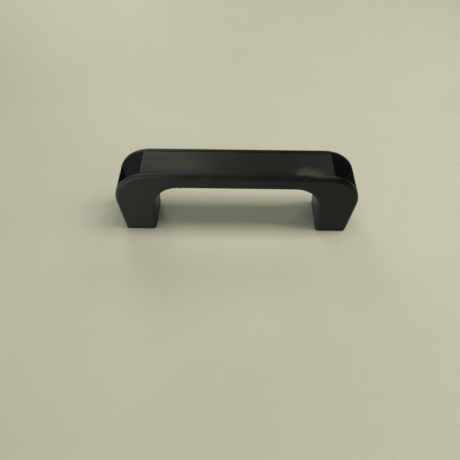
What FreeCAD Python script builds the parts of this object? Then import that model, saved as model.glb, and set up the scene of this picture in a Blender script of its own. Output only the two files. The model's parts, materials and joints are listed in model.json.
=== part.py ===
import FreeCAD, Part
import os
import re
import Sketcher

# A fixed pull handle for a vehicle door: a moulded body with two hollow legs, a cover strip let in
# along its arm, a steel strap under the strip, and a captive screw with its washers in each leg.
# X runs along the handle, Y from front to back, Z up. The origin is on the mounting plane,
# midway between the two legs. Lengths are in millimetres and drafts in degrees.

SIZES = {
    # outside of the moulding
    "height": 58.3,
    "depth": 31.7,
    "foot_outer": 87.6,
    "foot_inner": 63.4,
    "outer_draft": 4.3,
    "inner_draft": 4.7,
    "arm_thickness": 12.0,
    "corner_radius": 25.9,
    "arch_radius": 19.6,
    "edge_radius": 3.0,
    "foot_edge_radius": 1.0,
    # the trough along the top and the wells at its ends
    "cheek": 4.4,
    "strip_half_length": 68.7,
    "strip_thickness": 2.4,
    "strip_gap": 0.15,
    "ledge": 2.2,
    "arm_floor": 2.6,
    "well_inner": 65.4,
    "well_floor": 12.0,
    "end_wall": 2.8,
    "opening_sill": 41.5,
    "rim_radius": 0.3,
    "well_radius": 1.5,
    # the screws and what they clamp
    "fixing_offset": 75.0,
    "screw_diameter": 6.0,
    "screw_length": 30.0,
    "tip_chamfer": 0.8,
    "head_diameter": 10.5,
    "head_height": 3.3,
    "head_dome": 2.6,
    "socket_flats": 4.0,
    "socket_depth": 2.1,
    "screw_lift": 0.3,
    "sleeve_diameter": 10.0,
    "sleeve_bore": 6.6,
    "sleeve_chamfer": 0.4,
    "washer_diameter": 12.0,
    "washer_bore": 6.4,
    "washer_thickness": 1.6,
    "washer_slit": 0.8,
    "lock_trim": 0.4,
    "turning_gap": 0.1,
    # the strap
    "strap_width": 13.6,
    "strap_thickness": 2.0,
    "strap_bend": 2.0,
    "strap_gap": 0.3,
    "strap_foot": 82.6,
    # the cored underside of each foot
    "foot_wall": 3.0,
    "boss_radius": 7.6,
    "core_depth": 8.5,
    # the clips that hold the strip down, and the notches they snap into
    "clip_reach": 26.0,
    "clip_length": 8.0,
    "clip_thickness": 1.3,
    "clip_gap": 0.2,
    "clip_drop": 3.3,
    "hook": 0.7,
    "hook_height": 1.2,
    "notch_depth": 0.9,
}

SIDES = {"left": "-1", "right": "1"}
ABOVE = 20.0    # how far a cut runs on past the moulding
BEYOND = 1.0    # how far the slit of a lock washer is cut on past its faces
SILL_BAND = 0.5  # an edge this close to the sill belongs to the sill
ROOT = 0.6      # how far a clip's root is sunk in the strip

doc = FreeCAD.newDocument("PullHandle")
sheet = doc.addObject("Spreadsheet::Sheet", "Sizes")
for row, (alias, size) in enumerate(SIZES.items(), start=1):
    sheet.set(f"A{row}", alias)
    sheet.set(f"B{row}", str(size))
    sheet.setAlias(f"B{row}", alias)
doc.recompute()


def bound(expression):
    """The expression with the sheet's name before each alias in it."""
    return re.sub("[a-z_]+", lambda word: "Sizes." * (word[0] in SIZES) + word[0], expression)


def value(expression):
    """The number that an expression gives with the sheet's present sizes."""
    return float(sheet.evalExpression(bound(expression)))


def new_body(name):
    body = doc.addObject("PartDesign::Body", name)
    body.Label = name
    return body


def new_sketch(body, role, lift="0"):
    """A sketch on one of the body's origin planes, lifted off it by an expression."""
    sketch = body.newObject("Sketcher::SketchObject", body.Name + "_sketch")
    planes = {plane.Role: plane for plane in body.Origin.OriginFeatures}
    sketch.AttachmentSupport = [(planes[role], "")]
    sketch.MapMode = "FlatFace"
    sketch.setExpression("AttachmentOffset.Base.z", bound(lift))
    return sketch


def bind(sketch, constraint, expression):
    """Add a constraint and tie its size to the sheet."""
    number = sketch.addConstraint(constraint)
    sketch.setExpression(f"Constraints[{number}]", bound(expression))


def place(sketch, element, point, x, y):
    """Hold one point of a sketch element at x, y."""
    bind(sketch, Sketcher.Constraint("DistanceX", -1, 1, element, point, value(x)), x)
    bind(sketch, Sketcher.Constraint("DistanceY", -1, 1, element, point, value(y)), y)


def polygon(sketch, corners):
    """A closed outline through corners given as pairs of expressions."""
    points = [FreeCAD.Vector(value(x), value(y), 0) for x, y in corners]
    first = sketch.GeometryCount
    last = first + len(points) - 1
    for start, end in zip(points, points[1:] + points[:1]):
        sketch.addGeometry(Part.LineSegment(start, end))
    for line, (x, y) in enumerate(corners, start=first):
        before = last if line == first else line - 1
        sketch.addConstraint(Sketcher.Constraint("Coincident", before, 2, line, 1))
        place(sketch, line, 1, x, y)


def rectangle(sketch, left, right, low, high):
    polygon(sketch, [(left, low), (right, low), (right, high), (left, high)])


def circle(sketch, x, y, radius):
    ring = sketch.GeometryCount
    centre = FreeCAD.Vector(value(x), value(y), 0)
    sketch.addGeometry(Part.Circle(centre, FreeCAD.Vector(0, 0, 1), value(radius)))
    place(sketch, ring, 3, x, y)
    bind(sketch, Sketcher.Constraint("Radius", ring, value(radius)), radius)


def both_sides(corners):
    """An outline that runs on through the mirror image of its corners."""
    return corners + [(f"-({x})", y) for x, y in reversed(corners)]


def raise_or_cut(body, kind, sketch, length, symmetric=False, reverse=False):
    """A Pad or Pocket of a sketch. A Pocket has to take material away and a Pad to add it."""
    before = body.Shape.Volume if body.Tip else 0.0
    feature = body.newObject("PartDesign::" + kind, body.Name + "_" + kind.lower())
    feature.Profile = sketch
    feature.SideType = "Symmetric" if symmetric else "One side"
    feature.Reversed = reverse
    feature.setExpression("Length", bound(length))
    doc.recompute()
    grew = feature.Shape.Volume > before
    if grew != (kind == "Pad"):
        raise RuntimeError(feature.Name + " changes nothing")
    return feature


def soften(body, kind, size, chosen):
    """A Fillet or Chamfer of the body's edges for which chosen(edge) is true."""
    base = body.Tip
    names = [f"Edge{i}" for i, edge in enumerate(base.Shape.Edges, start=1) if chosen(edge)]
    if not names:
        raise RuntimeError(f"{body.Name} has no edge to soften by {size}")
    feature = body.newObject("PartDesign::" + kind, body.Name + "_" + kind.lower())
    feature.Base = (base, names)
    feature.setExpression("Radius" if kind == "Fillet" else "Size", bound(size))
    doc.recompute()
    return feature


def ends(edge):
    return [vertex.Point for vertex in edge.Vertexes]


def near(number, expression, slack=0.02):
    return abs(number - value(expression)) < slack


def runs_along_y(edge):
    """True of a straight edge that crosses the handle from front to back."""
    points = ends(edge)
    return len(points) == 2 and abs(points[0].x - points[1].x) < 1e-4 and abs(
        points[0].z - points[1].z) < 1e-4


def at_height(edge, expression):
    return all(near(point.z, expression) for point in ends(edge))


def at_breadth(edge, expression):
    """True of an edge that lies wholly at one distance in front of or behind the middle."""
    return all(near(abs(point.y), expression) for point in ends(edge))


UNDERSIDE = "height - arm_thickness"
TROUGH_HALF = "depth / 2 - cheek"
STRIP_SEAT = "height - strip_thickness"
CHANNEL_HALF = "depth / 2 - cheek - ledge"
CHANNEL_FLOOR = "height - arm_thickness + arm_floor"
NOTCH_TOP = "height - strip_thickness - clip_drop + hook_height + clip_gap"
NOTCH_FLOOR = "height - strip_thickness - clip_drop - clip_gap"
WASHERS_FOOT = "screw_lift + screw_length - turning_gap - 2 * washer_thickness"


def leg_outside(z):
    """How far the outer face of a leg stands from the middle at a height."""
    return f"foot_outer + ({z}) * tan(outer_draft)"


def make_handle_body():
    body = new_body("handle_body")
    outline = new_sketch(body, "XZ_Plane")
    polygon(outline, both_sides([
        ("foot_inner - (height - arm_thickness) * tan(inner_draft)", UNDERSIDE),
        ("foot_inner", "0"),
        ("foot_outer", "0"),
        (leg_outside("height"), "height"),
    ])[::-1])
    raise_or_cut(body, "Pad", outline, "depth", symmetric=True)
    soften(body, "Fillet", "corner_radius", lambda e: runs_along_y(e) and at_height(e, "height"))
    soften(body, "Fillet", "arch_radius", lambda e: runs_along_y(e) and at_height(e, UNDERSIDE))
    soften(body, "Fillet", "edge_radius",
           lambda e: at_breadth(e, "depth / 2") and not at_height(e, "0"))
    soften(body, "Fillet", "foot_edge_radius",
           lambda e: runs_along_y(e) and at_height(e, "0") and abs(ends(e)[0].x) > value("fixing_offset"))
    cut_trough_and_wells(body)
    core_the_feet(body)
    cut_clip_notches(body)
    return body


def cut_trough_and_wells(body):
    wells = new_sketch(body, "XZ_Plane")
    polygon(wells, both_sides([
        ("well_inner", STRIP_SEAT),
        ("well_inner", "well_floor"),
        (leg_outside("well_floor") + " - end_wall", "well_floor"),
        (leg_outside("opening_sill") + " - end_wall", "opening_sill"),
        (f"foot_outer + {ABOVE}", "opening_sill"),
        (f"foot_outer + {ABOVE}", f"height + {ABOVE}"),
    ]))
    raise_or_cut(body, "Pocket", wells, "2 * (" + TROUGH_HALF + ")", symmetric=True)
    soften(body, "Fillet", "well_radius", stands_in_well)
    channel = new_sketch(body, "XZ_Plane")
    rectangle(channel, "-(well_inner + well_radius)", "well_inner + well_radius",
              CHANNEL_FLOOR, "height")
    raise_or_cut(body, "Pocket", channel, "2 * (" + CHANNEL_HALF + ")", symmetric=True)
    soften(body, "Fillet", "strap_bend + strap_gap",
           lambda e: runs_along_y(e) and at_height(e, CHANNEL_FLOOR))
    soften(body, "Fillet", "rim_radius", is_rim)


def stands_in_well(edge):
    """True of the four upright corners of each well."""
    low, high = sorted(point.z for point in ends(edge)) if len(ends(edge)) == 2 else (0, 0)
    upright = near(low, "well_floor") and high > value("opening_sill - end_wall")
    return upright and at_breadth(edge, TROUGH_HALF)


def is_rim(edge):
    """True of the inner top edge of a cheek, with its run round the corner down to the sill."""
    low = value("opening_sill") - SILL_BAND
    outside = value("fixing_offset")
    if not at_breadth(edge, TROUGH_HALF):
        return False
    middle = edge.valueAt((edge.FirstParameter + edge.LastParameter) / 2)
    on_corner = middle.z > low and abs(middle.x) > outside and not near(middle.z, "opening_sill", SILL_BAND)
    return at_height(edge, "height") or on_corner


def core_the_feet(body):
    bores = new_sketch(body, "XY_Plane")
    for sign in SIDES.values():
        circle(bores, sign + " * fixing_offset", "0", "sleeve_diameter / 2")
    raise_or_cut(body, "Pocket", bores, "well_floor", reverse=True)
    cores = new_sketch(body, "XY_Plane")
    for side in SIDES.values():
        for face in SIDES.values():
            near_x = f"{side} * (foot_inner + foot_wall)"
            far_x = f"{side} * (foot_outer - foot_wall)"
            near_y = f"{face} * boss_radius"
            far_y = f"{face} * (depth / 2 - foot_wall)"
            rectangle(cores, near_x, far_x, near_y, far_y)
    raise_or_cut(body, "Pocket", cores, "core_depth", reverse=True)


def cut_clip_notches(body):
    notches = new_sketch(body, "XZ_Plane")
    for side in SIDES.values():
        rectangle(notches, f"{side} * clip_reach - clip_length / 2 - clip_gap",
                  f"{side} * clip_reach + clip_length / 2 + clip_gap", NOTCH_FLOOR, NOTCH_TOP)
    raise_or_cut(body, "Pocket", notches, "2 * (" + CHANNEL_HALF + " + notch_depth)", symmetric=True)


def make_cover_strip():
    body = new_body("cover_strip")
    strip = new_sketch(body, "XY_Plane", STRIP_SEAT)
    half_width = f"({TROUGH_HALF} - strip_gap)"
    rectangle(strip, "-strip_half_length", "strip_half_length", "-" + half_width, half_width)
    raise_or_cut(body, "Pad", strip, "strip_thickness")
    soften(body, "Fillet", "rim_radius", lambda e: at_height(e, "height"))
    for side in SIDES.values():
        clips = new_sketch(body, "YZ_Plane", f"{side} * clip_reach")
        for face in SIDES.values():
            clip_outline(clips, face)
        raise_or_cut(body, "Pad", clips, "clip_length", symmetric=True)
    return body


def clip_outline(sketch, face):
    """One clip seen from the end: a leg with a hook on the side towards the cheek."""
    outer = CHANNEL_HALF + " - clip_gap"
    foot = STRIP_SEAT + " - clip_drop"
    polygon(sketch, [(f"{face} * ({y})", z) for y, z in [
        (outer, f"{STRIP_SEAT} + {ROOT}"),
        (outer + " - clip_thickness", f"{STRIP_SEAT} + {ROOT}"),
        (outer + " - clip_thickness", foot),
        (outer, foot),
        (outer + " + hook", foot + " + hook_height / 2"),
        (outer + " + hook", foot + " + hook_height"),
        (outer, foot + " + hook_height"),
    ]])


def make_core_strap():
    body = new_body("core_strap")
    side = new_sketch(body, "XZ_Plane")
    inner = "well_inner + strap_gap"
    outer = "well_inner + strap_gap + strap_thickness"
    top_right = [
        (inner, CHANNEL_FLOOR),
        (inner, "well_floor"),
        ("strap_foot", "well_floor"),
        ("strap_foot", "well_floor + strap_thickness"),
        (outer, "well_floor + strap_thickness"),
        (outer, CHANNEL_FLOOR + " + strap_thickness"),
    ]
    polygon(side, both_sides(top_right))
    raise_or_cut(body, "Pad", side, "strap_width", symmetric=True)

    def inside_of_bend(edge):
        x, z = abs(ends(edge)[0].x), ends(edge)[0].z
        shoulder = near(x, inner) and near(z, CHANNEL_FLOOR)
        ankle = near(x, outer) and near(z, "well_floor + strap_thickness")
        return runs_along_y(edge) and (shoulder or ankle)

    def outside_of_bend(edge):
        x, z = abs(ends(edge)[0].x), ends(edge)[0].z
        shoulder = near(x, outer) and near(z, CHANNEL_FLOOR + " + strap_thickness")
        ankle = near(x, inner) and near(z, "well_floor")
        return runs_along_y(edge) and (shoulder or ankle)

    soften(body, "Fillet", "strap_bend", inside_of_bend)
    soften(body, "Fillet", "strap_bend + strap_thickness", outside_of_bend)
    holes = new_sketch(body, "XY_Plane")
    for sign in SIDES.values():
        circle(holes, sign + " * fixing_offset", "0", "sleeve_bore / 2")
    raise_or_cut(body, "Pocket", holes, "well_floor + 2 * strap_thickness", reverse=True)
    return body


def make_ring(name, side, outside, inside, foot, length):
    """A round piece with a bore, standing on the axis of one screw."""
    body = new_body(name)
    rings = new_sketch(body, "XY_Plane")
    circle(rings, "0", "0", f"({outside}) / 2")
    circle(rings, "0", "0", f"({inside}) / 2")
    raise_or_cut(body, "Pad", rings, length)
    body.setExpression("Placement.Base.x", bound(side + " * fixing_offset"))
    body.setExpression("Placement.Base.z", bound(foot))
    return body


def make_sleeve(side, sign):
    body = make_ring("sleeve_" + side, sign, "sleeve_diameter", "sleeve_bore", "0", "well_floor")
    soften(body, "Chamfer", "sleeve_chamfer",
           lambda e: len(ends(e)) == 1 and near(e.Curve.Radius, "sleeve_bore / 2"))
    return body


def make_washers(side, sign):
    flat = make_ring("flat_washer_" + side, sign, "washer_diameter", "washer_bore",
                     WASHERS_FOOT, "washer_thickness")
    lock = make_ring("lock_washer_" + side, sign, "washer_diameter - lock_trim", "washer_bore",
                     WASHERS_FOOT + " + washer_thickness", "washer_thickness")
    slit = new_sketch(lock, "XZ_Plane")
    lean = "washer_thickness / 2"
    polygon(slit, [(f"{lean} - washer_slit / 2", f"-{BEYOND}"),
                   (f"{lean} + washer_slit / 2", f"-{BEYOND}"),
                   (f"washer_slit / 2 - {lean}", f"washer_thickness + {BEYOND}"),
                   (f"-washer_slit / 2 - {lean}", f"washer_thickness + {BEYOND}")])
    raise_or_cut(lock, "Pocket", slit, "washer_diameter")
    return [flat, lock]


def make_fixing_screw(side, sign):
    """A button-head screw with a hexagon socket, its tip just clear of the mounting plane."""
    body = new_body("fixing_screw_" + side)
    shank = new_sketch(body, "XY_Plane")
    circle(shank, "0", "0", "screw_diameter / 2")
    raise_or_cut(body, "Pad", shank, "screw_length")
    soften(body, "Chamfer", "tip_chamfer", lambda e: at_height(e, "0"))
    head = new_sketch(body, "XY_Plane", "screw_length")
    circle(head, "0", "0", "head_diameter / 2")
    raise_or_cut(body, "Pad", head, "head_height")
    soften(body, "Fillet", "head_dome", lambda e: at_height(e, "screw_length + head_height"))
    socket = new_sketch(body, "XY_Plane", "screw_length + head_height")
    corner = "socket_flats / 2 / cos(30)"
    polygon(socket, [(f"{corner} * cos({60 * i})", f"{corner} * sin({60 * i})") for i in range(6)])
    raise_or_cut(body, "Pocket", socket, "socket_depth")
    body.setExpression("Placement.Base.x", bound(sign + " * fixing_offset"))
    body.setExpression("Placement.Base.z", bound("screw_lift"))
    return body


pieces = [make_handle_body(), make_cover_strip(), make_core_strap()]
for side, sign in SIDES.items():
    pieces.append(make_sleeve(side, sign))
    pieces += make_washers(side, sign)
    pieces.append(make_fixing_screw(side, sign))
doc.recompute()

failed = [item.Name for item in doc.Objects if {"Invalid", "Error"} & set(item.State)]
if failed:
    raise RuntimeError("failed features: " + ", ".join(failed))
os.makedirs("parts", exist_ok=True)
for piece in pieces:
    if piece.Shape.isNull() or not piece.Shape.isValid():
        raise RuntimeError("bad shape: " + piece.Label)
    piece.Shape.exportStep(f"parts/{piece.Label}.step")
    box = piece.Shape.BoundBox
    print(f"{piece.Label}: {box.XLength:.2f} x {box.YLength:.2f} x {box.ZLength:.2f},"
          f" {len(piece.Shape.Solids)} solid, {piece.Shape.Volume / 1000:.2f} cm3")
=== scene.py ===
# %% [markdown]
# # A door pull handle in black satin plastic
# The handle is two hollow legs and an arm, moulded in one, with a flat cover strip let in along
# the top, a steel strap hidden under the strip, and a screw standing in the well of each leg.
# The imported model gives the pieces, their places and their main sizes. This notebook makes each
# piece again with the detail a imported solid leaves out, such as broken edges, a crown, a thread
# and a sprung coil, and gives it its finish.

# %% Load the frame
import bpy
import bmesh
import json
import math
from mathutils import Matrix, Vector

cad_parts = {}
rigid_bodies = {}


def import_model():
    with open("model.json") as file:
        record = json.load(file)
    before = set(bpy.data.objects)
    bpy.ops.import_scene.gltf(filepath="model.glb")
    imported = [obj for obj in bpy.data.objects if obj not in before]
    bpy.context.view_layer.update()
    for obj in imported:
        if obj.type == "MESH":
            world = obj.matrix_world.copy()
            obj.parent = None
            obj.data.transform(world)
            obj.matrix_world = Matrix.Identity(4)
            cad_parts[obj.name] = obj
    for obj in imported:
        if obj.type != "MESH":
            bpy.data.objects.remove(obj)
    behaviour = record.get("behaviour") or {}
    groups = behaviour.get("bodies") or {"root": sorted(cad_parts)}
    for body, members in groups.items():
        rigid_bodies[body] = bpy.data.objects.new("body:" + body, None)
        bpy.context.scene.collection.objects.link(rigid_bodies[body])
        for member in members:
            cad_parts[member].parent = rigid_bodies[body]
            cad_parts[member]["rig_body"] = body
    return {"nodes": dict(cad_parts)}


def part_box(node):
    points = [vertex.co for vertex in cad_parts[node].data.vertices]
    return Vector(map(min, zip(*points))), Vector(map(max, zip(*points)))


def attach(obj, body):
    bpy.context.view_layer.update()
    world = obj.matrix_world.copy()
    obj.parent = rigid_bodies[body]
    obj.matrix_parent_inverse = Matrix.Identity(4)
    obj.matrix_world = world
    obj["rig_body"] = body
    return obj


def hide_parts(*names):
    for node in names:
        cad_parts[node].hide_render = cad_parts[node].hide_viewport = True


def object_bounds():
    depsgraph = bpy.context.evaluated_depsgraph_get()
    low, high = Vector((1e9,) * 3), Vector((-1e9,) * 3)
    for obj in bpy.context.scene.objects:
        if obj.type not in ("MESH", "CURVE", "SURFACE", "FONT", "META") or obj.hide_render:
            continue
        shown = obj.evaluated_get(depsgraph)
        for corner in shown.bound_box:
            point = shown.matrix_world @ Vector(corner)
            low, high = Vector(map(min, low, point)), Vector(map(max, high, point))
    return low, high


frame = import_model()
cad_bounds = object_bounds()
low, high = cad_bounds
MM = 0.001
print("the handle measures", [round(side / MM, 1) for side in high - low], "mm")

# %% [markdown]
# ## Camera
# The camera looks down at the handle from in front, about a third of a metre away, a little left
# of the middle and turned by less than a degree, as a camera held by hand is. Its place is a
# plain location and three angles, so each can be changed without disturbing the others.

# %% Camera
def aim(camera, place, pitch, yaw, roll):
    """Stand the camera at a place, look along +Y, then tip it down by pitch, all in degrees."""
    turn = Matrix.Rotation(math.radians(-yaw), 3, "Z")
    turn = turn @ Matrix.Rotation(math.radians(90 - pitch), 3, "X")
    turn = turn @ Matrix.Rotation(math.radians(roll), 3, "Z")
    camera.matrix_world = Matrix.Translation(place) @ turn.to_4x4()


camera = bpy.data.objects.new("camera", bpy.data.cameras.new("camera"))
bpy.context.collection.objects.link(camera)
camera.data.sensor_width = 36.0
camera.data.lens = 33.65
camera.data.clip_start = 0.01
aim(camera, Vector((-0.0040, -0.2252, 0.2738)), pitch=52.63, yaw=-0.18, roll=0.64)
bpy.context.scene.camera = camera
bpy.context.scene.view_settings.view_transform = "Standard"
print("camera", round(camera.location.length, 3), "m from the middle of the foot plane")

# %% [markdown]
# ## Light
# Black plastic shows little colour of its own: what gives it shape is what it mirrors and where
# the light stops. The table is lit from an arch of soft lamps that runs over the handle from right
# to left, strongest high on the right, so the arm throws one soft shadow between the legs and each
# leg a faint one outwards. Those lamps are not mirrored: in a big room they would be the ceiling,
# too even to show in a satin surface. What the plastic does mirror is behind it. Two windows lie in
# the top strip as a gradient, pale at the left, and a low wide one catches the far edge. A wall in
# front lights the near side. Each lamp is placed by compass and height, which is how one thinks of
# lamps around a table.
#
# Two fills light nothing but the handle. The left one opens the left well and lifts that half, as
# light scattered from something pale beside it would, so it throws no shadow. The other, low
# behind, shows the handle's back. Past the table's edge the eye sees a plain pale tone, which
# lights nothing either.

# %% Light
MIDDLE = Vector((0.0, 0.0, 0.03))
WARM = (1.0, 1.0, 0.78)
COOL = (0.94, 1.0, 1.0)


def soft_lamp(name, compass, height, distance, size, watts, colour=WARM, mirrored=True):
    """An area lamp, aimed at MIDDLE, distance metres from it.

    It stands compass degrees from +Y towards +X and height degrees above the table. Its size is
    in metres. A lamp that is not mirrored lights a surface without showing in its gloss.
    """
    lamp = bpy.data.lights.new(name, "AREA")
    lamp.shape = "RECTANGLE"
    lamp.size, lamp.size_y = size
    lamp.energy = watts
    lamp.color = colour
    holder = bpy.data.objects.new(name, lamp)
    bpy.context.collection.objects.link(holder)
    turn = math.radians(compass)
    rise = math.radians(height)
    towards = Vector((math.sin(turn) * math.cos(rise), math.cos(turn) * math.cos(rise), math.sin(rise)))
    holder.location = MIDDLE + towards * distance
    holder.rotation_euler = (-towards).to_track_quat("-Z", "Y").to_euler()
    holder.visible_glossy = mirrored
    return holder


FAR = 1.2     # metres from the handle to a lamp of the room
ARCH = ((90, 45, 2.2), (90, 60, 3.0), (90, 75, 1.95), (90, 90, 1.5), (-90, 75, 1.2))
for number, (compass, height, watts) in enumerate(ARCH):
    soft_lamp(f"arch_lamp_{number}", compass, height, FAR, (0.4, 0.4), watts, mirrored=False)
soft_lamp("high_lamp", -90, 75, FAR, (0.4, 0.4), 0.9)
soft_lamp("back_window", -19, 39, FAR, (0.42, 0.26), 0.92)
soft_lamp("right_window", 36, 39, FAR, (0.50, 0.26), 1.1)
soft_lamp("front_wall", 180, 45, FAR, (1.8, 0.55), 2.35, mirrored=False)
soft_lamp("low_window", -22, 15, FAR, (0.6, 0.50), 2.6)

# %% Fills, which light the handle and not the table
left_fill = soft_lamp("left_fill", -126, 20, 0.22, (0.16, 0.10), 1.6, COOL, mirrored=False)
left_fill.data.use_shadow = False
back_fill = soft_lamp("back_fill", -28, 14, 0.5, (0.3, 0.2), 9.0, mirrored=False)
lit_by_fill = bpy.data.collections.new("lit_by_fill")
for fill in (left_fill, back_fill):
    fill.light_linking.receiver_collection = lit_by_fill
print("lamps:", len(bpy.data.lights))

# %% The room, dim for the handle and pale for the eye
world = bpy.data.worlds.new("room")
world.use_nodes = True
room = world.node_tree
dim = room.nodes["Background"]
dim.inputs["Color"].default_value = (0.9, 0.95, 1.0, 1)
dim.inputs["Strength"].default_value = 0.02
seen = room.nodes.new("ShaderNodeBackground")
seen.inputs["Color"].default_value = (0.50, 0.50, 0.43, 1)
seen.inputs["Strength"].default_value = 1.0
either = room.nodes.new("ShaderNodeMixShader")
rays = room.nodes.new("ShaderNodeLightPath")
room.links.new(rays.outputs["Is Camera Ray"], either.inputs["Fac"])
room.links.new(dim.outputs["Background"], either.inputs[1])
room.links.new(seen.outputs["Background"], either.inputs[2])
room.links.new(either.outputs["Shader"], room.nodes["World Output"].inputs["Surface"])
bpy.context.scene.world = world
print("the room lights the handle at", dim.inputs["Strength"].default_value)

# %% [markdown]
# ## Small helpers for node trees
# A material is a graph. These helpers add a node, set its inputs by name from a number or from
# another node's output, and chain a calculation, so that a tree reads from top to bottom.

# %% Node helpers
def add(tree, kind, inputs=(), **settings):
    """Add a node, set its properties, and feed its inputs, given as name or number: value."""
    node = tree.nodes.new(kind)
    for name, setting in settings.items():
        setattr(node, name, setting)
    for key, source in dict(inputs).items():
        feed(tree, node.inputs[key], source)
    return node


def feed(tree, socket, source):
    """Link an output to a socket, or set the socket to a plain value."""
    if isinstance(source, bpy.types.NodeSocket):
        tree.links.new(source, socket)
    else:
        socket.default_value = source


def maths(tree, operation, first, second=0.0, third=0.0, clamp=False):
    """One Math node. Returns its output."""
    node = add(tree, "ShaderNodeMath", {0: first, 1: second, 2: third}, operation=operation)
    node.use_clamp = clamp
    return node.outputs[0]


def between(tree, source, start, end):
    """0 below start and 1 above end, turning smoothly. Start may lie above end."""
    node = add(tree, "ShaderNodeMapRange", {"Value": source, "From Min": start, "From Max": end},
               interpolation_type="SMOOTHSTEP")
    return node.outputs["Result"]


def mixed(tree, share, colour, other):
    """A colour mixed towards another by a share from 0 to 1."""
    node = add(tree, "ShaderNodeMix", data_type="RGBA")
    feed(tree, node.inputs["Factor"], share)
    feed(tree, node.inputs[6], colour)
    feed(tree, node.inputs[7], other)
    return node.outputs[2]


def tinted(tree, colour, mask, amount, tint):
    """A colour that takes on a tint where the mask is, by up to an amount."""
    return mixed(tree, maths(tree, "MULTIPLY", mask, amount), colour, tint)


def new_group(name, inputs, outputs, kind="ShaderNodeTree"):
    """A node group with named sockets. Returns the tree, its input node and its output node."""
    tree = bpy.data.node_groups.new(name, kind)
    for label, socket_type, value in inputs:
        socket = tree.interface.new_socket(label, in_out="INPUT", socket_type=socket_type)
        if value is not None:
            socket.default_value = value
    for label, socket_type in outputs:
        tree.interface.new_socket(label, in_out="OUTPUT", socket_type=socket_type)
    return tree, tree.nodes.new("NodeGroupInput"), tree.nodes.new("NodeGroupOutput")


FLOAT = "NodeSocketFloat"
VECTOR = "NodeSocketVector"

# %% [markdown]
# ## Shared effects
# What happens to one material happens to its neighbours: the mould leaves a grain, hands rub the
# edges, palms leave a film, dust settles in hollows, tools and rings leave hairlines. Each effect
# is one shader group that gives out a mask or a height, used by every material in its own measure.

# %% Grain of a spark-eroded mould
def make_grain():
    """A fine uneven height from 0 to 1: shallow pits with softer swells between them."""
    tree, given, result = new_group("mould_grain", [("Scale", FLOAT, 3000.0)], [("Height", FLOAT)])
    place = add(tree, "ShaderNodeTexCoord").outputs["Object"]
    swells = add(tree, "ShaderNodeTexNoise", {"Vector": place, "Scale": given.outputs["Scale"],
                                              "Detail": 3.0, "Roughness": 0.55})
    pits = add(tree, "ShaderNodeTexVoronoi", {"Vector": place, "Scale": given.outputs["Scale"]},
               feature="SMOOTH_F1")
    deep = maths(tree, "MULTIPLY", pits.outputs["Distance"], 0.6)
    feed(tree, result.inputs["Height"], maths(tree, "MULTIPLY_ADD", swells.outputs["Fac"], 0.6, deep))
    return tree


grain = make_grain()


# %% Rubbed edges
def make_rubbed_edges():
    """A mask of the roundings between the faces across an axis and the faces along it."""
    tree, given, result = new_group(
        "rubbed_edges", [("Axis", VECTOR, (0, 1, 0)), ("Patchiness", FLOAT, 90.0)], [("Mask", FLOAT)])
    where = add(tree, "ShaderNodeTexCoord")
    along = add(tree, "ShaderNodeVectorMath", {0: where.outputs["Normal"], 1: given.outputs["Axis"]},
                operation="DOT_PRODUCT").outputs["Value"]
    along = maths(tree, "ABSOLUTE", along)
    across = maths(tree, "SQRT", maths(tree, "SUBTRACT", 1.0, maths(tree, "MULTIPLY", along, along),
                                       clamp=True))
    turned = maths(tree, "SUBTRACT", 1.0, maths(tree, "MAXIMUM", along, across))
    edge = between(tree, turned, 0.02, 0.22)
    patches = add(tree, "ShaderNodeTexNoise", {"Vector": where.outputs["Object"], "Detail": 5.0,
                                               "Scale": given.outputs["Patchiness"]}).outputs["Fac"]
    feed(tree, result.inputs["Mask"], maths(tree, "MULTIPLY", edge, between(tree, patches, 0.35, 0.7)))
    return tree


rubbed_edges = make_rubbed_edges()


# %% Film left by palms, and hairlines
def make_film():
    """Soft cloudy streaks, drawn out by Stretch, that only change the gloss a little."""
    tree, given, result = new_group(
        "palm_film", [("Scale", FLOAT, 30.0), ("Stretch", VECTOR, (0.35, 1, 1))], [("Mask", FLOAT)])
    place = add(tree, "ShaderNodeTexCoord").outputs["Object"]
    drawn = add(tree, "ShaderNodeVectorMath", {0: place, 1: given.outputs["Stretch"]},
                operation="MULTIPLY").outputs["Vector"]
    cloud = add(tree, "ShaderNodeTexNoise", {"Vector": drawn, "Scale": given.outputs["Scale"],
                                             "Detail": 6.0, "Roughness": 0.6, "Distortion": 0.8})
    feed(tree, result.inputs["Mask"], between(tree, cloud.outputs["Fac"], 0.38, 0.66))
    return tree


def make_hairlines():
    """Sparse thin scratches: the narrow ridge of a noise that is stretched along one direction."""
    tree, given, result = new_group(
        "hairlines", [("Scale", FLOAT, 220.0), ("Stretch", VECTOR, (0.04, 1, 1)),
                      ("Fineness", FLOAT, 0.012)], [("Mask", FLOAT)])
    place = add(tree, "ShaderNodeTexCoord").outputs["Object"]
    tilted = add(tree, "ShaderNodeVectorRotate", {"Vector": place, "Angle": 0.12},
                 rotation_type="Z_AXIS").outputs["Vector"]
    drawn = add(tree, "ShaderNodeVectorMath", {0: tilted, 1: given.outputs["Stretch"]},
                operation="MULTIPLY").outputs["Vector"]
    ridge = add(tree, "ShaderNodeTexNoise", {"Vector": drawn, "Scale": given.outputs["Scale"],
                                             "Detail": 1.0}).outputs["Fac"]
    away = maths(tree, "ABSOLUTE", maths(tree, "SUBTRACT", ridge, 0.5))
    line = between(tree, away, given.outputs["Fineness"], 0.0)
    broken = add(tree, "ShaderNodeTexNoise", {"Vector": place, "Scale": 70.0}).outputs["Fac"]
    feed(tree, result.inputs["Mask"], maths(tree, "MULTIPLY", line, between(tree, broken, 0.5, 0.62)))
    return tree


film = make_film()
hairlines = make_hairlines()


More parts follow.
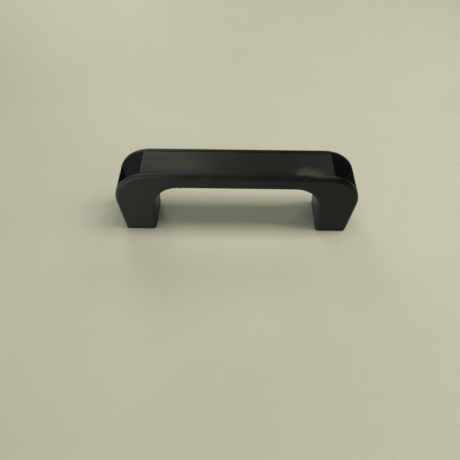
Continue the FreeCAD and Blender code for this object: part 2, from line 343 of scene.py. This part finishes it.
# %% Dust that settles low down
def make_dust():
    """A mask of upward faces below Ceiling, in loose drifts."""
    tree, given, result = new_group("settled_dust", [("Ceiling", FLOAT, 0.05)], [("Mask", FLOAT)])
    where = add(tree, "ShaderNodeTexCoord")
    up = add(tree, "ShaderNodeSeparateXYZ", {"Vector": where.outputs["Normal"]}).outputs["Z"]
    height = add(tree, "ShaderNodeSeparateXYZ", {"Vector": where.outputs["Object"]}).outputs["Z"]
    level = between(tree, up, 0.35, 0.95)
    ceiling = given.outputs["Ceiling"]
    deep = between(tree, height, ceiling, maths(tree, "SUBTRACT", ceiling, 3 * MM))
    drifts = add(tree, "ShaderNodeTexNoise", {"Vector": where.outputs["Object"], "Scale": 260.0,
                                              "Detail": 6.0}).outputs["Fac"]
    lying = maths(tree, "MULTIPLY", level, deep)
    feed(tree, result.inputs["Mask"], maths(tree, "MULTIPLY", lying, between(tree, drifts, 0.3, 0.7)))
    return tree


dust = make_dust()
print("shared effects:", [group.name for group in bpy.data.node_groups])


# %% Placing an effect in a material
def new_material(name):
    """A material with a bare Principled shader, its tree and the shader."""
    material = bpy.data.materials.new(name)
    material.use_nodes = True
    return material, material.node_tree, material.node_tree.nodes["Principled BSDF"]


def effect(tree, group, **values):
    """Place a shared group with its own values. Returns its only output."""
    node = tree.nodes.new("ShaderNodeGroup")
    node.node_tree = group
    for name, setting in values.items():
        node.inputs[name].default_value = setting
    return node.outputs[0]


def scaled_sum(tree, base, *parts):
    """base + mask * amount + mask * amount ..., kept from 0 to 1."""
    total = base
    for mask, amount in parts:
        total = maths(tree, "MULTIPLY_ADD", mask, amount, total, clamp=True)
    return total


def bump(tree, shader, height, depth):
    """Lay a height over the surface: depth is in metres from the lowest to the highest point."""
    node = add(tree, "ShaderNodeBump", {"Height": height, "Distance": depth, "Strength": 1.0})
    feed(tree, shader.inputs["Normal"], node.outputs["Normal"])


# %% [markdown]
# ## Black satin plastic
# The handle is moulded in black glass-filled plastic. The mould was spark-eroded, which leaves a
# fine matt grain. Hands polish the front and back roundings, so there the plastic is a little
# smoother and paler, and a greasy film dulls and clears the flat faces in slow clouds.

# %% Soft patch
RAGGED = 1.1         # how much the noise pushes a patch's edge in and out
PATCH_EDGE = 1.70    # nothing beyond this many reaches, noise included
PATCH_HEART = 0.70   # full strength within this many


def soft_patch(tree, place, centre, reach, ragged):
    """A mask that fades out from centre over reach in each direction, broken up by a noise."""
    moved = add(tree, "ShaderNodeVectorMath", {0: place, 1: centre}, operation="SUBTRACT").outputs[0]
    shrunk = add(tree, "ShaderNodeVectorMath", {0: moved, 1: reach}, operation="DIVIDE").outputs[0]
    away = add(tree, "ShaderNodeVectorMath", {0: shrunk}, operation="LENGTH").outputs["Value"]
    uneven = maths(tree, "MULTIPLY_ADD", ragged, RAGGED, away)
    return between(tree, uneven, PATCH_EDGE, PATCH_HEART)


# %% Body plastic
def make_body_plastic():
    """Nearly black, with two painted highlights on the near rim, where it catches the light."""
    material, tree, shader = new_material("black_satin_plastic")
    height = effect(tree, grain, Scale=2600.0)
    rubbed = effect(tree, rubbed_edges, Axis=(0, 1, 0), Patchiness=70.0)
    smear = effect(tree, film, Scale=26.0)
    scratch = effect(tree, hairlines, Scale=240.0)
    dusty = effect(tree, dust, Ceiling=0.049)
    colour = tinted(tree, (0.0038, 0.0039, 0.0037, 1), smear, 0.35, (0.0053, 0.0054, 0.0051, 1))
    colour = tinted(tree, colour, rubbed, 0.25, (0.016, 0.0160, 0.0138, 1))
    colour = tinted(tree, colour, scratch, 0.12, (0.045, 0.045, 0.040, 1))
    colour = tinted(tree, colour, dusty, 0.20, (0.070, 0.068, 0.058, 1))
    place = add(tree, "ShaderNodeTexCoord").outputs["Object"]
    ragged = add(tree, "ShaderNodeTexNoise", {"Vector": place, "Scale": 95.0, "Detail": 5.0,
                                              "Distortion": 0.4}).outputs["Fac"]
    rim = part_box("handle_body")[1].z
    # Painted highlights: the near rim is made paler in two soft patches, right and left, where it catches
    # the light.
    painted_rim_highlight_right = soft_patch(tree, place, (0.060, -0.0126, rim), (0.014, 0.0020, 0.003), ragged)
    painted_rim_highlight_left = soft_patch(tree, place, (-0.064, -0.0130, rim), (0.030, 0.0028, 0.003), ragged)
    colour = tinted(tree, colour, painted_rim_highlight_right, 0.5, (0.034, 0.034, 0.030, 1))
    colour = tinted(tree, colour, painted_rim_highlight_left, 0.32, (0.016, 0.016, 0.014, 1))
    feed(tree, shader.inputs["Base Color"], colour)
    rough = scaled_sum(tree, 0.36, (smear, 0.05), (rubbed, -0.06), (dusty, 0.2), (height, 0.03))
    feed(tree, shader.inputs["Roughness"], rough)
    shader.inputs["Specular IOR Level"].default_value = 0.20
    bump(tree, shader, height, 0.012 * MM)
    return material


# %% [markdown]
# ## Cover strip plastic
# The strip is the same plastic from another mould, polished finer along its length, so it mirrors
# a window behind it as a long soft gradient. Its right end carries a paler, rougher patch, and
# left of the middle lies a painted sheen: paler colour where the light falls on that side.

# %% Strip plastic
def make_strip_plastic():
    """The same black, smoother, with a paler, rougher patch near the right end and a painted sheen at the
    left.
    """
    material, tree, shader = new_material("strip_plastic")
    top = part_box("cover_strip")[1].z
    place = add(tree, "ShaderNodeTexCoord").outputs["Object"]
    ragged = add(tree, "ShaderNodeTexNoise", {"Vector": place, "Scale": 130.0, "Detail": 6.0,
                                              "Distortion": 0.6}).outputs["Fac"]
    # A paler, rougher patch near the right end of the strip.
    pale_rough_patch = soft_patch(tree, place, (0.0515, -0.0105, top), (0.015, 0.0085, 0.01), ragged)
    # Painted sheen: the strip's colour is made paler left of the middle, where the light falls.
    painted_sheen_left = soft_patch(tree, place, (-0.038, -0.004, top), (0.022, 0.010, 0.01), ragged)
    height = effect(tree, grain, Scale=3600.0)
    smear = effect(tree, film, Scale=34.0, Stretch=(0.3, 1, 1))
    rubbed = effect(tree, rubbed_edges, Axis=(0, 0, 1), Patchiness=120.0)
    scratch = effect(tree, hairlines, Scale=300.0)
    colour = tinted(tree, (0.0052, 0.0053, 0.0050, 1), smear, 0.4, (0.0072, 0.0073, 0.0068, 1))
    colour = tinted(tree, colour, painted_sheen_left, 0.35, (0.0200, 0.0202, 0.0160, 1))
    colour = tinted(tree, colour, pale_rough_patch, 0.9, (0.0300, 0.0300, 0.0230, 1))
    colour = tinted(tree, colour, scratch, 0.25, (0.045, 0.045, 0.040, 1))
    colour = tinted(tree, colour, rubbed, 0.3, (0.018, 0.018, 0.0155, 1))
    feed(tree, shader.inputs["Base Color"], colour)
    rough = scaled_sum(tree, 0.35, (smear, 0.05), (pale_rough_patch, 0.10), (height, 0.03))
    feed(tree, shader.inputs["Roughness"], rough)
    shader.inputs["Specular IOR Level"].default_value = 0.24
    bump(tree, shader, height, 0.008 * MM)
    return material


# %% [markdown]
# ## Steel
# Four steels, told apart by what was done to them. The strap is dipped in black paint by
# electrocoating, thin on its sheared edges. Sleeves, flat washers and screws are zinc plated and
# clear passivated: pale, faintly blue, bright on the corners. The lock washers are oiled spring
# steel, dark brown-grey with a straw tint from tempering.

# %% Steel finishes
def make_plated_steel(name, pale, deep, roughness):
    """Zinc plate: two greys in fine clouds, brighter and smoother at the rubbed corners."""
    material, tree, shader = new_material(name)
    cloud = effect(tree, film, Scale=420.0, Stretch=(1, 1, 1))
    rubbed = effect(tree, rubbed_edges, Axis=(0, 0, 1), Patchiness=400.0)
    scratch = effect(tree, hairlines, Scale=900.0, Stretch=(0.1, 1, 1), Fineness=0.02)
    height = effect(tree, grain, Scale=5200.0)
    colour = mixed(tree, cloud, pale, deep)
    colour = tinted(tree, colour, rubbed, 0.7, (0.78, 0.79, 0.80, 1))
    colour = tinted(tree, colour, scratch, 0.4, (0.22, 0.22, 0.22, 1))
    feed(tree, shader.inputs["Base Color"], colour)
    shader.inputs["Metallic"].default_value = 1.0
    rough = scaled_sum(tree, roughness, (cloud, 0.10), (rubbed, -0.10), (scratch, 0.12))
    feed(tree, shader.inputs["Roughness"], rough)
    bump(tree, shader, height, 0.004 * MM)
    return material


def make_black_steel():
    """Electrocoat: smooth black paint, worn to grey steel along the sheared edges."""
    material, tree, shader = new_material("electrocoated_steel")
    worn = effect(tree, rubbed_edges, Axis=(0, 1, 0), Patchiness=260.0)
    height = effect(tree, grain, Scale=900.0)
    scratch = effect(tree, hairlines, Scale=420.0)
    dusty = effect(tree, dust, Ceiling=0.056)
    bare = maths(tree, "MULTIPLY", maths(tree, "MAXIMUM", worn, scratch), 0.5)
    colour = mixed(tree, bare, (0.011, 0.011, 0.012, 1), (0.16, 0.155, 0.145, 1))
    colour = tinted(tree, colour, dusty, 0.15, (0.10, 0.095, 0.08, 1))
    feed(tree, shader.inputs["Base Color"], colour)
    feed(tree, shader.inputs["Metallic"], maths(tree, "MULTIPLY", bare, 0.8))
    feed(tree, shader.inputs["Roughness"], scaled_sum(tree, 0.34, (height, 0.06), (dusty, 0.25)))
    bump(tree, shader, height, 0.010 * MM)
    return material


def make_spring_steel():
    """Tempered and oiled: a dark grey that drifts to straw brown, with a thin wet film."""
    material, tree, shader = new_material("oiled_spring_steel")
    temper = effect(tree, film, Scale=240.0, Stretch=(1, 1, 1))
    rubbed = effect(tree, rubbed_edges, Axis=(0, 0, 1), Patchiness=500.0)
    height = effect(tree, grain, Scale=4200.0)
    colour = mixed(tree, temper, (0.105, 0.100, 0.098, 1), (0.150, 0.115, 0.080, 1))
    colour = tinted(tree, colour, rubbed, 0.6, (0.36, 0.35, 0.34, 1))
    feed(tree, shader.inputs["Base Color"], colour)
    shader.inputs["Metallic"].default_value = 1.0
    feed(tree, shader.inputs["Roughness"], scaled_sum(tree, 0.33, (temper, 0.08), (rubbed, -0.06)))
    shader.inputs["Coat Roughness"].default_value = 0.12
    feed(tree, shader.inputs["Coat Weight"], maths(tree, "MULTIPLY", temper, 0.5))
    bump(tree, shader, height, 0.005 * MM)
    return material


# %% Palette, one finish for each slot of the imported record
finishes = {
    "body_plastic": make_body_plastic(),
    "strip_plastic": make_strip_plastic(),
    "black_steel": make_black_steel(),
    "zinc_steel": make_plated_steel("zinc_plate", (0.58, 0.59, 0.61, 1), (0.44, 0.45, 0.46, 1), 0.32),
    "spring_steel": make_spring_steel(),
    "screw_steel": make_plated_steel("screw_zinc", (0.62, 0.63, 0.66, 1), (0.50, 0.51, 0.53, 1), 0.26),
}
print("finishes:", ", ".join(finishes))

# %% [markdown]
# ## Table
# The handle lies on a plain pale laminate, cream with a little green in it. A still surface is
# never one colour: a very slow cloud shifts its tone by a few parts in a hundred, and a finer one
# its gloss. It is a stage, not a part of the object.

# %% Table
def make_table(reach):
    """A square top, reach metres from its middle to each side."""
    mesh = bpy.data.meshes.new("table")
    corners = [(-reach, -reach, 0), (reach, -reach, 0), (reach, reach, 0), (-reach, reach, 0)]
    mesh.from_pydata(corners, [], [(0, 1, 2, 3)])
    table = bpy.data.objects.new("table", mesh)
    bpy.context.collection.objects.link(table)
    material, tree, shader = new_material("cream_laminate")
    slow = effect(tree, film, Scale=5.0, Stretch=(1, 1, 1))
    fine = effect(tree, film, Scale=60.0, Stretch=(1, 1, 1))
    cream = mixed(tree, slow, (0.645, 0.645, 0.605, 1), (0.625, 0.627, 0.590, 1))
    feed(tree, shader.inputs["Base Color"], cream)
    feed(tree, shader.inputs["Roughness"], scaled_sum(tree, 0.58, (fine, 0.05)))
    shader.inputs["Specular IOR Level"].default_value = 0.3
    mesh.materials.append(material)
    return table


make_table(reach=1.4)

# %% [markdown]
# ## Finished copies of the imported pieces
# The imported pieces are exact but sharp: no moulding or pressing has an edge of no radius. A
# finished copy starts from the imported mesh, whose loose triangles are welded and whose flat
# faces are joined again, and gets a Bevel on every sharp edge. Bevel is a modifier, so the radius
# stays one number. The weighted normals keep the flat faces flat beside the roundings.

# %% Finished copy
SHARP = math.radians(32)       # a corner sharper than this is an edge
SAME_POINT = 0.002 * MM
SAME_PLANE = math.radians(0.4)


def welded(node):
    """The node's mesh as one closed skin, with its flat faces whole again."""
    form = bmesh.new()
    form.from_mesh(frame["nodes"][node].data)
    bmesh.ops.remove_doubles(form, verts=form.verts, dist=SAME_POINT)
    bmesh.ops.dissolve_limit(form, angle_limit=SAME_PLANE, verts=form.verts, edges=form.edges)
    return form


def slot_of(node):
    """The record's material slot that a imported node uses: its packed material has that name."""
    return frame["nodes"][node].material_slots[0].material.name


def hand_in(name, form, node, soft_edge=0.0):
    """Make the object for a finished form, dress it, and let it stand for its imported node."""
    bmesh.ops.recalc_face_normals(form, faces=form.faces)
    mesh = bpy.data.meshes.new(name)
    form.to_mesh(mesh)
    form.free()
    mesh.shade_smooth()
    mesh.set_sharp_from_angle(angle=SHARP)
    piece = bpy.data.objects.new(name, mesh)
    bpy.context.collection.objects.link(piece)
    slot = slot_of(node)
    mesh.materials.append(finishes[slot])
    if soft_edge:
        bevel = piece.modifiers.new("soft_edges", "BEVEL")
        bevel.width = soft_edge
        bevel.segments = 2
        bevel.limit_method = "ANGLE"
        bevel.angle_limit = SHARP
        bevel.use_clamp_overlap = True
        piece.modifiers.new("flat_faces", "WEIGHTED_NORMAL").keep_sharp = False
    lit_by_fill.objects.link(piece)
    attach(piece, frame["nodes"][node]["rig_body"])
    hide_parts(node)
    print(f"{name}: {len(mesh.vertices)} points, {len(mesh.polygons)} faces")
    return piece


# %% [markdown]
# ## The moulding and the strap
# The moulding keeps its packed form. Its sharp edges, at the feet, the wells and the trough, get
# the small radius that a mould leaves. Under the arm's front edge sits a tiny flake of flash,
# where the two halves of the mould met. The strap is a bent strip: its sheared edges get a little
# more radius, as tumbling leaves them.

# %% Moulding
EDGE_ROUND = 3.0 * MM       # radius of the long roundings of the moulding
ARM_UNDERSIDE = 46.3 * MM
FLASH_PLACE = -41.0 * MM    # where along the arm the flake sits
FLASH_SIZE = Vector((1.3, 0.35, 0.28)) * MM


def add_flash(form):
    """A thin flake that clings to the lower front rounding, half sunk in it."""
    slope = math.radians(38)    # how far down the rounding the flake sits
    centre = Vector((FLASH_PLACE, low.y + EDGE_ROUND, ARM_UNDERSIDE + EDGE_ROUND))
    centre += Vector((0, -math.cos(slope), -math.sin(slope))) * EDGE_ROUND
    flake = bmesh.ops.create_icosphere(form, subdivisions=3, radius=1.0)["verts"]
    for point in flake:
        ragged = 1 + 0.25 * math.sin(7 * point.co.x + 2 * point.co.z) * math.cos(5 * point.co.x)
        shape = Vector((point.co.x * FLASH_SIZE.x, point.co.y * FLASH_SIZE.y,
                        point.co.z * FLASH_SIZE.z * ragged))
        point.co = centre + Matrix.Rotation(-slope, 3, "X") @ shape


moulding = welded("handle_body")
add_flash(moulding)
hand_in("handle_moulding", moulding, "handle_body", soft_edge=0.25 * MM)

# %% Strap
hand_in("steel_strap", welded("core_strap"), "core_strap", soft_edge=0.25 * MM)

# %% [markdown]
# ## The cover strip
# The strip is let in flush with the cheeks. A flat moulding shrinks as it cools and looks hollow,
# so a maker gives it a slight crown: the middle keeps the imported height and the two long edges
# lie a quarter of a millimetre lower. The copy is sliced lengthwise first, so there are points to
# lower. The crown also bends the mirrored window into a gradient across the strip.

# %% Cover strip
CROWN = 0.25 * MM
SLICES = 24


def crown_the_top(form, top, half_width):
    """Slice a piece lengthwise and lower its top towards both long edges, as a shallow arc."""
    for step in range(1, SLICES):
        across = half_width * (2 * step / SLICES - 1)
        everything = list(form.verts) + list(form.edges) + list(form.faces)
        bmesh.ops.bisect_plane(form, geom=everything, plane_co=(0, across, 0), plane_no=(0, 1, 0),
                               dist=0.001 * MM)
    for point in form.verts:
        if point.co.z > top - 2 * CROWN:
            point.co.z -= CROWN * (point.co.y / half_width) ** 2


strip_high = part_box("cover_strip")[1]
strip = welded("cover_strip")
crown_the_top(strip, strip_high.z, strip_high.y)
hand_in("crowned_strip", strip, "cover_strip", soft_edge=0.12 * MM)

# %% [markdown]
# ## Round hardware
# Sleeves and flat washers are turned or stamped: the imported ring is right, and only its corners
# need breaking. Their round sides are smooth shaded, and the corners kept crisp.

# %% Sleeves and flat washers
for side in ("left", "right"):
    for node, soft_edge in (("sleeve_", 0.12 * MM), ("flat_washer_", 0.22 * MM)):
        hand_in("finished_" + node + side, welded(node + side), node + side, soft_edge)

# %% [markdown]
# ## Lock washers
# A lock washer is one turn of square wire, cut at a slant and sprung, so its ends stand a little
# apart. It follows a path, so Geometry Nodes make it: a one-turn spiral carries a rectangle along.
# Its sizes are the tree's inputs. The result is turned into a plain mesh, one for each side.

# %% Geometry tree helpers
GEOMETRY = "NodeSocketGeometry"
WHOLE = "NodeSocketInt"


def grow(name, tree, **sizes):
    """Run a geometry tree on an empty mesh with its inputs set, and return the plain mesh."""
    holder = bpy.data.objects.new(name, bpy.data.meshes.new(name))
    bpy.context.collection.objects.link(holder)
    maker = holder.modifiers.new("maker", "NODES")
    maker.node_group = tree
    for item in tree.interface.items_tree:
        if item.in_out == "INPUT" and item.name in sizes:
            maker[item.identifier] = sizes[item.name]
    evaluated = holder.evaluated_get(bpy.context.evaluated_depsgraph_get())
    mesh = bpy.data.meshes.new_from_object(evaluated)
    bpy.data.objects.remove(holder)
    return mesh


def finish_tree(tree, result, geometry, finish):
    """End a tree: real geometry, with its material."""
    real = add(tree, "GeometryNodeRealizeInstances", {"Geometry": geometry})
    dressed = add(tree, "GeometryNodeSetMaterial", {"Geometry": real.outputs[0], "Material": finish})
    feed(tree, result.inputs["Geometry"], dressed.outputs[0])


# %% Lock washer tree
def make_coil_tree(finish):
    """One sprung turn of rectangular wire round the Z axis, its lower end centred on Z = 0."""
    tree, given, result = new_group(
        "sprung_turn",
        [("Mean Radius", FLOAT, 4.5 * MM), ("Wire Width", FLOAT, 2.6 * MM),
         ("Wire Height", FLOAT, 1.2 * MM), ("Rise", FLOAT, 0.3 * MM), ("Turn", FLOAT, 0.97)],
        [("Geometry", GEOMETRY)], kind="GeometryNodeTree")
    path = add(tree, "GeometryNodeCurveSpiral", {
        "Resolution": 96, "Rotations": given.outputs["Turn"], "Height": given.outputs["Rise"],
        "Start Radius": given.outputs["Mean Radius"], "End Radius": given.outputs["Mean Radius"]})
    upright = add(tree, "GeometryNodeSetCurveNormal", {"Curve": path.outputs[0]}, mode="Z_UP")
    section = add(tree, "GeometryNodeCurvePrimitiveQuadrilateral", {
        "Width": given.outputs["Wire Width"], "Height": given.outputs["Wire Height"]})
    wire = add(tree, "GeometryNodeCurveToMesh", {
        "Curve": upright.outputs[0], "Profile Curve": section.outputs[0], "Fill Caps": True})
    finish_tree(tree, result, wire.outputs[0], finish)
    return tree


coil_tree = make_coil_tree(finishes["spring_steel"])
LOCK_WIRE = 1.2 * MM       # height of the wire
LOCK_BORE = 3.2 * MM       # radius of the hole
LOCK_TURN = 0.97           # share of a full turn, which leaves the gap between the ends
SPARE = 0.02 * MM          # kept free on each side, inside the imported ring


def axis_foot(node):
    """The point where the axis of a round node meets its lowest plane."""
    foot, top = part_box(node)
    return Vector(((foot.x + top.x) / 2, (foot.y + top.y) / 2, foot.z))


for side in ("left", "right"):
    node = "lock_washer_" + side
    foot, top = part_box(node)
    outer = (top.x - foot.x) / 2
    coil = grow("coil_" + side, coil_tree, **{
        "Mean Radius": (outer + LOCK_BORE) / 2, "Wire Width": outer - LOCK_BORE - SPARE,
        "Wire Height": LOCK_WIRE, "Rise": top.z - foot.z - LOCK_WIRE - 2 * SPARE, "Turn": LOCK_TURN})
    form = bmesh.new()
    form.from_mesh(coil)
    bmesh.ops.remove_doubles(form, verts=form.verts, dist=SAME_POINT)
    centre = axis_foot(node) + Vector((0, 0, LOCK_WIRE / 2 + SPARE))
    bmesh.ops.translate(form, verts=form.verts, vec=centre)
    hand_in("sprung_washer_" + side, form, node, soft_edge=0.12 * MM)

# %% [markdown]
# ## Screws
# A rolled thread is a ridge that climbs one pitch with each turn. Its shape is a rule, so it is
# made by a rule: a grid of points is bent round the axis, each row climbs one pitch in a turn, and
# each point's radius comes from a wave along the axis. Clamping the heights cuts both ends level.
# The head, its hexagon socket and the tip are turned profiles, and are welded to the thread.

# %% Thread tree
AROUND = 48            # points round the axis
ROWS_PER_TURN = 12
UNDER_HEAD = 0.75      # how far the thread runs out towards its full radius under the head


def make_thread_tree(finish):
    """A threaded shank along +Z from Z = 0, open at both ends, with a lead-in and a run-out."""
    tree, given, result = new_group(
        "rolled_thread",
        [("Outer Radius", FLOAT, 3.0 * MM), ("Root Radius", FLOAT, 2.4 * MM), ("Pitch", FLOAT, 1.0 * MM),
         ("Length", FLOAT, 29.0 * MM), ("Around", WHOLE, AROUND), ("Rows", WHOLE, 360)],
        [("Geometry", GEOMETRY)], kind="GeometryNodeTree")
    pitch = given.outputs["Pitch"]
    length = given.outputs["Length"]
    root = given.outputs["Root Radius"]
    sheet = add(tree, "GeometryNodeMeshGrid", {
        "Size X": 1.0, "Size Y": 1.0,
        "Vertices X": maths(tree, "ADD", given.outputs["Around"], 1.0),
        "Vertices Y": maths(tree, "ADD", given.outputs["Rows"], 1.0)})
    place = add(tree, "GeometryNodeInputPosition").outputs[0]
    flat = add(tree, "ShaderNodeSeparateXYZ", {"Vector": place})
    turn = maths(tree, "ADD", flat.outputs["X"], 0.5)
    share = maths(tree, "ADD", flat.outputs["Y"], 0.5)
    climb = maths(tree, "MULTIPLY", share, maths(tree, "ADD", length, pitch))
    free = maths(tree, "SUBTRACT", maths(tree, "MULTIPLY_ADD", turn, pitch, climb), pitch)
    height = maths(tree, "MAXIMUM", 0.0, maths(tree, "MINIMUM", free, length))
    wave = maths(tree, "MULTIPLY", maths(tree, "PINGPONG", maths(tree, "DIVIDE", climb, pitch), 0.5), 2.0)
    ridge = maths(tree, "MULTIPLY_ADD", wave, 1.3, -0.15, clamp=True)
    lead_in = between(tree, height, 0.0, maths(tree, "MULTIPLY", pitch, 1.5))
    left = maths(tree, "SUBTRACT", length, height)
    run_out = between(tree, left, maths(tree, "MULTIPLY", pitch, 1.5), 0.0)
    depth = maths(tree, "SUBTRACT", given.outputs["Outer Radius"], root)
    full = maths(tree, "MULTIPLY", lead_in, maths(tree, "SUBTRACT", 1.0, run_out))
    crest = maths(tree, "MULTIPLY_ADD", run_out, UNDER_HEAD, maths(tree, "MULTIPLY", ridge, full))
    radius = maths(tree, "MULTIPLY_ADD", depth, crest, root)
    angle = maths(tree, "MULTIPLY", turn, math.tau)
    round_place = add(tree, "ShaderNodeCombineXYZ", {
        "X": maths(tree, "MULTIPLY", radius, maths(tree, "COSINE", angle)),
        "Y": maths(tree, "MULTIPLY", radius, maths(tree, "SINE", angle)), "Z": height}).outputs[0]
    bent = add(tree, "GeometryNodeSetPosition", {"Geometry": sheet.outputs[0], "Position": round_place})
    seamless = add(tree, "GeometryNodeMergeByDistance", {"Geometry": bent.outputs[0],
                                                         "Distance": SAME_POINT})
    finish_tree(tree, result, seamless.outputs[0], finish)
    return tree


thread_tree = make_thread_tree(finishes["screw_steel"])
PITCH = 1.0 * MM
SHANK = 3.0 * MM       # outer radius of the thread
ROOT = 2.39 * MM       # its inner radius
LEAD = 0.35 * MM       # length of the blunt tip
HEAD_HEIGHT = 3.3 * MM


# %% Turned ends
DOME_STEPS = 10


def turned(form, rings, start_closed=True, end_closed=True):
    """Bridge rings of points. A ring is a height and a function from angle to radius."""
    loops = []
    for height, radius in rings:
        angles = [math.tau * step / AROUND for step in range(AROUND)]
        loops.append([form.verts.new((radius(a) * math.cos(a), radius(a) * math.sin(a), height))
                      for a in angles])
    for lower, upper in zip(loops, loops[1:]):
        for i in range(AROUND):
            j = (i + 1) % AROUND
            form.faces.new((lower[i], lower[j], upper[j], upper[i]))
    for closed, end in ((start_closed, 0), (end_closed, -1)):
        if closed:
            middle = form.verts.new((0, 0, rings[end][0]))
            for i in range(AROUND):
                form.faces.new((loops[end][i], loops[end][(i + 1) % AROUND], middle))


def round_of(radius):
    """The same distance from the axis all round."""
    return lambda angle: radius


def hexagon_of(flats, grown=0.0):
    """Distance from the axis to the side of a hexagon, flats wide, with its corners at 0, 60 ..."""
    sixth = math.tau / 6
    return lambda angle: (flats / 2) / math.cos(angle % sixth - sixth / 2) + grown


def head_rings(foot, head_radius, head_height, flats, depth):
    """A button head: a short land, a quarter-round dome, a flat crown, a chamfered hexagon."""
    dome = 2.6 * MM
    land = foot + head_height - dome
    top = foot + head_height
    rings = [(foot, round_of(ROOT + UNDER_HEAD * (SHANK - ROOT))),
             (foot, round_of(head_radius - 0.2 * MM)),
             (foot + 0.2 * MM, round_of(head_radius)),
             (land, round_of(head_radius))]
    for step in range(1, DOME_STEPS + 1):
        turn = math.radians(90 * step / DOME_STEPS)
        rings.append((land + dome * math.sin(turn), round_of(head_radius - dome * (1 - math.cos(turn)))))
    rings.append((top, round_of(flats / 2 + 0.5 * MM)))
    rings.append((top - 0.02 * MM, hexagon_of(flats, 0.12 * MM)))
    rings.append((top - 0.22 * MM, hexagon_of(flats)))
    rings.append((top - depth, hexagon_of(flats)))
    rings.append((top - depth - 0.35 * MM, round_of(0.6 * MM)))
    return rings


# %% Fixing screws
for side in ("left", "right"):
    node = "fixing_screw_" + side
    foot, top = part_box(node)
    head_foot = top.z - foot.z - HEAD_HEIGHT
    length = head_foot - LEAD
    rows = round((length + PITCH) / PITCH * ROWS_PER_TURN)
    thread = grow("thread_" + side, thread_tree, **{
        "Outer Radius": SHANK, "Root Radius": ROOT, "Pitch": PITCH, "Length": length,
        "Around": AROUND, "Rows": rows})
    form = bmesh.new()
    form.from_mesh(thread)
    bmesh.ops.translate(form, verts=form.verts, vec=(0, 0, LEAD))
    turned(form, [(0.0, round_of(ROOT - 0.3 * MM)), (LEAD, round_of(ROOT))], end_closed=False)
    head_radius = (top.x - foot.x) / 2
    rings = head_rings(head_foot, head_radius, HEAD_HEIGHT, flats=4.0 * MM, depth=2.1 * MM)
    turned(form, rings, start_closed=False)
    bmesh.ops.remove_doubles(form, verts=form.verts, dist=0.003 * MM)
    bmesh.ops.dissolve_degenerate(form, edges=form.edges, dist=0.001 * MM)
    bmesh.ops.translate(form, verts=form.verts, vec=axis_foot(node))
    open_edges = sum(1 for edge in form.edges if len(edge.link_faces) != 2)
    print(node, "open edges:", open_edges)
    hand_in("threaded_screw_" + side, form, node)
